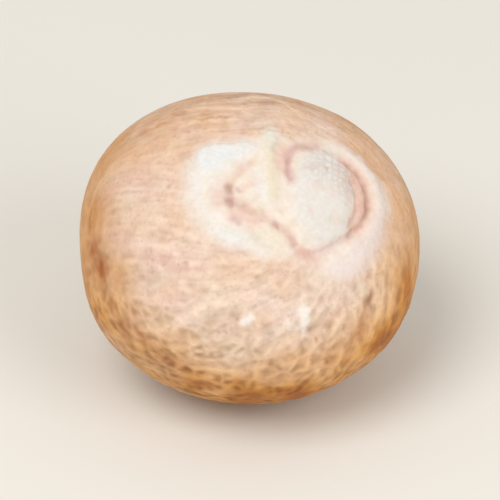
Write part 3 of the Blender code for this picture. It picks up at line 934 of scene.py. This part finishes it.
def skin_masks(dirs):
    """The skin's height over the body, and what its colours are mixed by, each from 0 to 1."""
    sheet = scar_sheet(dirs)
    spots = dirs * MEAN_RADIUS
    ways = growth(dirs)
    fine = nudged(sheet, spots, *FINE_WANDER)
    height, salmon, mauve, crack, husk, lilac = scar_marks(sheet, spots)
    fleck_height, fleck = dry_flecks(sheet, spots)
    scar = scar_cover(sheet, spots)
    bare = 1 - scar
    plug = blot(sheet, *PLUG_FACE)
    plug_mesh = blot(sheet, *PLUG_MESH_TOP) + SIDE_MESH_TONE * blot(sheet, *PLUG_MESH_SIDE)
    cream, rose = cream_and_rose(fine, spots, plug)
    chalk = np.clip(uneven(spots, *CHALK), 0, 1)

    # The brown is partly painted shade at the foot and the edges, besides the real tan.
    brown, bold, lengths = weathering_and_shade(dirs)
    brown = uneven(spots, brown, *BROWN_GRAINS)
    bold = bold * uneven(spots, *BOLD_BREAKS)
    bold = np.clip(uneven(spots, bold, *BOLD_GRAINS), 0, 1)
    vein, cell = vein_net(spots, ways, lengths)
    vein = np.clip(vein * uneven(spots, *VEIN_BREAKS), 0, 1)
    cell = cell * uneven(spots, *CELL_BREAKS)
    pale_vein = pale_veins(fine, spots)
    mottle = mottling(dirs, spots, lengths, bold)
    ragged = nudged(spots, spots, *SMUDGE_WANDER)
    stain, olive_and_shadow, pink, haze = (
        smudges(ragged, ways, marks)
        for marks in (BROWN_SMUDGES, OLIVE_AND_SHADOW_SMUDGES, PINK_SMUDGES, HAZE_SMUDGES)
    )
    dimple = smudges(spots, ways, DIMPLES)
    pit = pits(dirs) * bare

    veined = VEIN_RISE * vein + PALE_VEIN_RISE * pale_vein - CELL_SINK * cell
    height = height + fleck_height + bare * (bold * veined + MOTTLE_RISE * mottle - STAIN_SINK * stain)
    height = height + SCAR_GRAIN_RISE * scar * uneven(spots, *SCAR_GRAIN)
    height = height - PIT_SINK * pit - DIMPLE_SINK * dimple
    rind_masks = {
        "pale mottle": smooth_step(mottle, *PALE_MOTTLE_RANGE),
        "dark mottle": smooth_step(-mottle, *DARK_MOTTLE_RANGE),
        "vein": vein * bold,
        "pale vein": np.clip(pale_vein, 0, 1),
        "cell": np.clip(cell, 0, 1) * bold,
        # The brown and the deep brown are the tan and, at the foot and the edges, painted shade.
        "brown": np.clip(brown, 0, 1),
        "deep brown and painted shade": smooth_step(brown, *DEEP_BROWN_AND_SHADE_RANGE),
        "stain": stain,
        "olive_and_shadow": olive_and_shadow,
        "pink": pink,
        "haze": haze,
    }
    masks = {name: values * bare for name, values in rind_masks.items()}
    masks |= {
        "pit": pit * (1 - fleck),
        "scar": scar,
        "plug": plug,
        "plug mesh": np.clip(plug_mesh, 0, 1),
        "cream": cream * scar,
        "rose": rose * scar,
        "husk": np.clip(husk * chalk, 0, 1),
        "lilac": lilac * chalk,
        "salmon": np.clip(salmon, 0, 1) * (1 - HUSK_HIDES * husk),
        "mauve": np.clip(mauve, 0, 1) * (1 - HUSK_HIDES * husk),
        "dimple": dimple,
        "crack": np.clip(crack, 0, 1),
        "fleck": fleck,
    }
    return height, masks


def cube_sphere(cells, crowding):
    """A ball of near-even quads grown from a cube, its corners crowded towards +Z."""
    net = bmesh.new()
    bmesh.ops.create_cube(net, size=2)
    bmesh.ops.subdivide_edges(net, edges=net.edges[:], cuts=cells - 1, use_grid_fill=True)
    dirs = unit(np.tan(np.array([vert.co for vert in net.verts]) * (math.pi / 4)))
    dirs[:, 2] += crowding
    return net, unit(dirs)


def at_rest(points):
    """Turns the nut as it lies, wears its flat spot and fits it to the place of its solid."""
    turn = Matrix.Rotation(LEAN, 3, "Z") @ Matrix.Rotation(TIP, 3, "Y") @ Matrix.Rotation(SPIN, 3, "Z")
    points = points @ np.array(turn).T
    points[:, 2] -= points[:, 2].min() + FOOT_DEPTH
    points[:, 2] = np.maximum(points[:, 2], 0)
    low, high = (np.array(corner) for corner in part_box("nut"))
    own_low, own_high = points.min(axis=0), points.max(axis=0)
    points *= ((high - low) / (own_high - own_low)).min()
    own_low, own_high = points.min(axis=0), points.max(axis=0)
    points[:, :2] += (low + high - own_low - own_high)[:2] / 2
    points[:, 2] += low[2] - own_low[2]
    return points


def make_skin():
    net, dirs = cube_sphere(SKIN_CELLS, SKIN_CROWDING)
    height, masks = skin_masks(dirs)
    radius = body_radius(dirs) + slow_waves(dirs) + height
    for vert, point in zip(net.verts, at_rest(dirs * radius[:, None])):
        vert.co = point
    bmesh.ops.recalc_face_normals(net, faces=net.faces[:])
    mesh = bpy.data.meshes.new("skin")
    net.to_mesh(mesh)
    net.free()
    mesh.shade_smooth()
    for name, values in masks.items():
        layer = mesh.attributes.new(name, "FLOAT", "POINT")
        layer.data.foreach_set("value", values.astype(np.float32))
    skin = bpy.data.objects.new("skin", mesh)
    bpy.context.scene.collection.objects.link(skin)
    return skin


# ---- materials ------------------------------------------------------------------------------------


def linear(hex_value):
    """An sRGB hex colour as the linear RGBA that the shaders take."""
    parts = [int(hex_value[place : place + 2], 16) / 255 for place in (1, 3, 5)]
    bright = [part / 12.92 if part <= 0.04045 else ((part + 0.055) / 1.055) ** 2.4 for part in parts]
    return bright + [1.0]


def add_node(tree, kind, settings=None, links=None):
    """Adds one node, with its properties and socket values set and its inputs linked.

    A socket goes by its name, or by its place where several share a name.
    """
    new = tree.nodes.new(kind)
    for name, value in (settings or {}).items():
        if isinstance(name, int) or name in new.inputs:
            new.inputs[name].default_value = value
        else:
            setattr(new, name, value)
    for name, source in (links or {}).items():
        tree.links.new(source, new.inputs[name])
    return new


def blank_material(name):
    material = bpy.data.materials.new(name)
    material.use_nodes = True
    material.node_tree.nodes.clear()
    return material, material.node_tree


# The places of a Mix node's sockets: how much of the second, then each pair, and the colour that results.
MIX_SHARE = 0
MIX_FIRST_NUMBER, MIX_SECOND_NUMBER = 2, 3
MIX_FIRST_COLOUR, MIX_SECOND_COLOUR = 6, 7
MIX_COLOUR = 2

# The coats of colour over the bare skin, in the order they lie: mask, strength, colour. The skin's and the
# scar's cover what lies under them, and the tanning ones stain it through; brown and deep brown are partly
# painted shade at the foot and the edges.
SKIN_COATS = (
    ("pink", 0.75, "#cda59c"),
    # Olive tint, and beside the right fleck painted shadow.
    ("olive_and_shadow", 0.5, "#ab9c80"),
    ("dark mottle", 0.72, "#957150"),
    ("cell", 0.74, "#94714b"),
    ("pale mottle", 0.6, "#f1dccb"),
    ("vein", 0.85, "#f8e4ce"),
    ("pale vein", 0.85, "#f8e4cc"),
    ("haze", 0.6, "#eadbd7"),
)
TANNING_AND_SHADE_COATS = (
    ("brown", 0.9, "#eeb642"),
    # Partly painted shade at the foot and the edges.
    ("deep brown and painted shade", 0.85, "#b87e5c"),
    ("stain", 0.9, "#c48b48"),
)
SCAR_COATS = (
    ("pit", 0.3, "#6b4a33"),
    ("scar", 1.0, "#dfd3c7"),
    ("plug", 0.8, "#d2cfca"),
    ("cream", 0.6, "#d0c7ab"),
    ("rose", 0.25, "#d4b8ac"),
    ("lilac", 0.9, "#e0d0d0"),
    ("husk", 0.95, "#d3d8da"),
    ("dimple", 0.7, "#b4b69c"),
    ("salmon", 0.68, "#d29c87"),
    ("mauve", 0.62, "#c49a9a"),
    ("crack", 0.62, "#8f6655"),
    ("fleck", 0.9, "#e9e3da"),
)

# How many lumps of each pattern lie side by side in a millimetre. Clouds of pink and straw are 1.9 mm
# across, freckles 1.2 mm, grain 0.35 mm and the fibre ends cut across the plug 0.55 mm, their real sizes.
CLOUDS_PER_MM = 0.52
FRECKLES_PER_MM = 0.83
GRAINS_PER_MM = 2.9
FIBRE_ENDS_PER_MM = 1.8


def coat(tree, under, amount, strength, hex_value, how="MIX"):
    """One colour laid over another, by as much as a mask says."""
    share = add_node(tree, "ShaderNodeMath", {"operation": "MULTIPLY", 1: strength}, {0: amount})
    settings = {"data_type": "RGBA", "blend_type": how, MIX_SECOND_COLOUR: linear(hex_value)}
    links = {MIX_SHARE: share.outputs[0], MIX_FIRST_COLOUR: under}
    return add_node(tree, "ShaderNodeMix", settings, links).outputs[MIX_COLOUR]


def coats(tree, under, layers, how="MIX"):
    """Several colours laid over another in turn, each by as much as the skin's own mask says."""
    for mask, strength, hex_value in layers:
        amount = add_node(tree, "ShaderNodeAttribute", {"attribute_name": mask}).outputs["Fac"]
        under = coat(tree, under, amount, strength, hex_value, how)
    return under


def dried_seed_skin():
    """Dried areca seed, husked and sun-dried: a matt, faintly satin skin that scatters a soft sheen."""
    material, tree = blank_material("dried areca seed skin, sun-dried")
    place = {"Vector": add_node(tree, "ShaderNodeTexCoord").outputs["Object"]}
    clouds = {"Scale": CLOUDS_PER_MM / MM, "Detail": 3}
    cloud = add_node(tree, "ShaderNodeTexNoise", clouds, place).outputs["Fac"]
    freckles = {"Scale": FRECKLES_PER_MM / MM, "Detail": 4}
    freckle = add_node(tree, "ShaderNodeTexNoise", freckles, place).outputs["Fac"]
    grains = {"Scale": GRAINS_PER_MM / MM, "Detail": 2}
    grain = add_node(tree, "ShaderNodeTexNoise", grains, place).outputs["Fac"]

    tint = add_node(tree, "ShaderNodeMapRange", {"From Min": 0.3, "From Max": 0.7}, {"Value": cloud})
    tans = {
        "data_type": "RGBA",
        MIX_FIRST_COLOUR: linear("#d5baad"),
        MIX_SECOND_COLOUR: linear("#d6c1ad"),
    }
    colour = add_node(tree, "ShaderNodeMix", tans, {MIX_SHARE: tint.outputs[0]}).outputs[MIX_COLOUR]
    freckled = add_node(tree, "ShaderNodeMapRange", {"From Min": 0.4, "From Max": 0.7}, {"Value": freckle})
    colour = coat(tree, colour, freckled.outputs[0], 0.4, "#c8a68e")
    colour = coats(tree, colour, SKIN_COATS)
    colour = coats(tree, colour, TANNING_AND_SHADE_COATS, "MULTIPLY")
    specked = add_node(tree, "ShaderNodeMapRange", {"From Min": 0.58, "From Max": 0.72}, {"Value": grain})
    colour = coat(tree, colour, specked.outputs[0], 0.14, "#7c5f4a")
    colour = coats(tree, colour, SCAR_COATS)
    grained = add_node(tree, "ShaderNodeMapRange", {"From Min": 0.3, "From Max": 0.7}, {"Value": grain})
    colour = coat(tree, colour, grained.outputs[0], 0.1, "#8a6a52")

    # The walls between the cut fibre ends show as a fine mesh on the plug.
    ends = {"feature": "DISTANCE_TO_EDGE", "Scale": FIBRE_ENDS_PER_MM / MM, "Randomness": 0.55}
    from_wall = add_node(tree, "ShaderNodeTexVoronoi", ends, place).outputs["Distance"]
    walls = {"From Max": 0.28, "To Min": 1, "To Max": 0}
    wall = add_node(tree, "ShaderNodeMapRange", walls, {"Value": from_wall})
    patch = add_node(tree, "ShaderNodeAttribute", {"attribute_name": "plug mesh"})
    on_plug = {0: wall.outputs[0], 1: patch.outputs["Fac"]}
    mesh_share = add_node(tree, "ShaderNodeMath", {"operation": "MULTIPLY"}, on_plug)
    colour = coat(tree, colour, mesh_share.outputs[0], 0.25, "#958c8c")

    # The rind is satin where it is freckled least, and the scar is chalky.
    satin = add_node(tree, "ShaderNodeMapRange", {"To Min": 0.48, "To Max": 0.68}, {"Value": freckle})
    scar = add_node(tree, "ShaderNodeAttribute", {"attribute_name": "scar"})
    gloss = {MIX_SHARE: scar.outputs["Fac"], MIX_FIRST_NUMBER: satin.outputs[0]}
    roughness = add_node(tree, "ShaderNodeMix", {"data_type": "FLOAT", MIX_SECOND_NUMBER: 0.8}, gloss)
    bump = add_node(tree, "ShaderNodeBump", {"Strength": 0.5, "Distance": 0.06 * MM}, {"Height": grain})
    shader = add_node(
        tree,
        "ShaderNodeBsdfPrincipled",
        {"IOR": 1.45, "Specular IOR Level": 0.2},
        {"Base Color": colour, "Roughness": roughness.outputs[0], "Normal": bump.outputs["Normal"]},
    )
    add_node(tree, "ShaderNodeOutputMaterial", links={"Surface": shader.outputs[0]})
    return material


def painted_board():
    """Board rolled with matt emulsion: an even pale ground that takes soft shadows and has no gloss."""
    material, tree = blank_material("matt painted board")
    paint = {"Base Color": linear("#dad7d0"), "Roughness": 0.9}
    shader = add_node(tree, "ShaderNodeBsdfPrincipled", paint)
    add_node(tree, "ShaderNodeOutputMaterial", links={"Surface": shader.outputs[0]})
    return material


# ---- floor, light and camera ----------------------------------------------------------------------

FLOOR_RADIUS = 1.5

# Each softbox: its name, its place, how wide it is and its power in watts.
SOFTBOXES = (
    ("key", (-0.17, -0.19, 0.41), 0.30, 1.32),
    ("fill", (0.28, -0.26, 0.28), 0.30, 0.76),
)
STUDIO_LIGHT = 0.7  # the light from all round

# The camera looks down on the nut from the side that its scar faces, through a long lens. The lens and the
# sensor are in millimetres.
CAMERA_ELEVATION = math.radians(38)
CAMERA_DISTANCE = 0.45
CAMERA_LENS = 400
CAMERA_SENSOR = 36
NEAREST_SEEN = 0.01


def make_floor():
    net = bmesh.new()
    bmesh.ops.create_circle(net, cap_ends=True, segments=96, radius=FLOOR_RADIUS)
    mesh = bpy.data.meshes.new("floor")
    net.to_mesh(mesh)
    net.free()
    mesh.materials.append(painted_board())
    floor = bpy.data.objects.new("floor", mesh)
    bpy.context.scene.collection.objects.link(floor)
    return floor


def aim(thing, target):
    thing.rotation_euler = (target - thing.location).to_track_quat("-Z", "Y").to_euler()


def make_softbox(name, place, size, power, target):
    light = bpy.data.lights.new(name, "AREA")
    light.shape = "DISK"
    light.size = size
    light.energy = power
    lamp = bpy.data.objects.new(name, light)
    lamp.location = place
    aim(lamp, target)
    bpy.context.scene.collection.objects.link(lamp)


def make_camera(target):
    camera = bpy.data.cameras.new("camera")
    camera.sensor_width = CAMERA_SENSOR
    camera.lens = CAMERA_LENS
    camera.clip_start = NEAREST_SEEN
    eye = bpy.data.objects.new("camera", camera)
    back = Vector((0, -math.cos(CAMERA_ELEVATION), math.sin(CAMERA_ELEVATION)))
    eye.location = target + CAMERA_DISTANCE * back
    aim(eye, target)
    bpy.context.scene.collection.objects.link(eye)
    bpy.context.scene.camera = eye


def make_world():
    world = bpy.data.worlds.new("studio")
    world.use_nodes = True
    world.node_tree.nodes["Background"].inputs["Color"].default_value = linear("#f2efea")
    world.node_tree.nodes["Background"].inputs["Strength"].default_value = STUDIO_LIGHT
    bpy.context.scene.world = world


skin = make_skin()
skin.data.materials.append(dried_seed_skin())
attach(skin, "root")
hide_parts("nut")

low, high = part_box("nut")
middle = (low + high) / 2
make_floor()
make_world()
for name, place, size, power in SOFTBOXES:
    make_softbox(name, place, size, power, middle)
make_camera(middle)
bpy.context.scene.view_settings.view_transform = "Standard"
